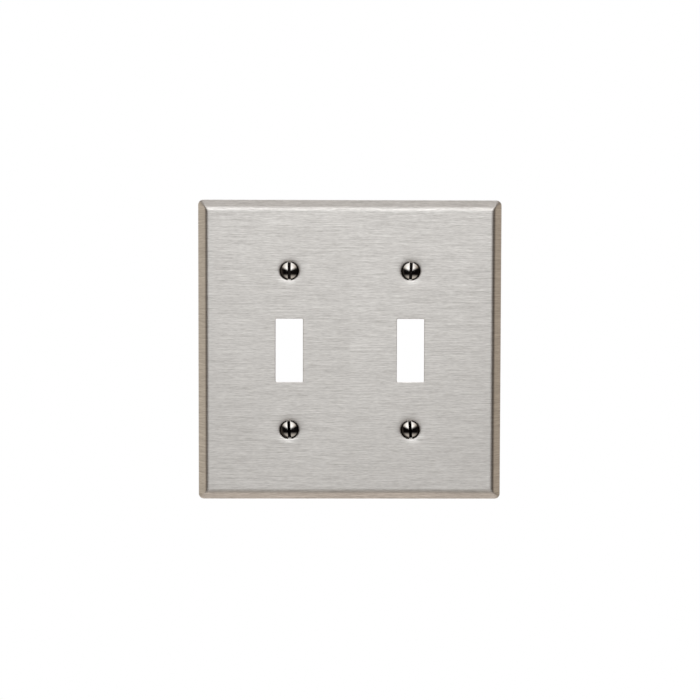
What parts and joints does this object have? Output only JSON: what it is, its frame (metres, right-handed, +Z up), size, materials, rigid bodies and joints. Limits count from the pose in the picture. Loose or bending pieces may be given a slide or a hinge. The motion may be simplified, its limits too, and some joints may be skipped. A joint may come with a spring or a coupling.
{
  "type": "wall plate",
  "caption": "Flat square wall plate with a bevelled rim and two upright toggle openings, held by slotted oval-head screws seated in pressed dimples",
  "frame": {"origin": "in the wall plane, at the middle of the four screws, which is the middle of the plate", "axes": "+X to the right seen from the front, +Y into the wall, +Z up; the face looks along -Y"},
  "size_m": [0.1156, 0.0139, 0.1142],
  "materials": {
    "brushed_plate": "sideways brushed stainless steel",
    "polished_screw": "polished stainless steel"
  },
  "bodies": {
    "plate_body": {"faceplate": "brushed_plate"},
    "upper_left_screw": {"screw_upper_left": "polished_screw"},
    "upper_right_screw": {"screw_upper_right": "polished_screw"},
    "lower_left_screw": {"screw_lower_left": "polished_screw"},
    "lower_right_screw": {"screw_lower_right": "polished_screw"}
  },
  "joints": [
    {"name": "upper_left_screw_out", "type": "slide", "parent": "plate_body", "child": "upper_left_screw", "axis": [0, -1, 0], "range_m": [0, 0.014]},
    {"name": "upper_right_screw_out", "type": "slide", "parent": "plate_body", "child": "upper_right_screw", "axis": [0, -1, 0], "range_m": [0, 0.014]},
    {"name": "lower_left_screw_out", "type": "slide", "parent": "plate_body", "child": "lower_left_screw", "axis": [0, -1, 0], "range_m": [0, 0.014]},
    {"name": "lower_right_screw_out", "type": "slide", "parent": "plate_body", "child": "lower_right_screw", "axis": [0, -1, 0], "range_m": [0, 0.014]}
  ]
}
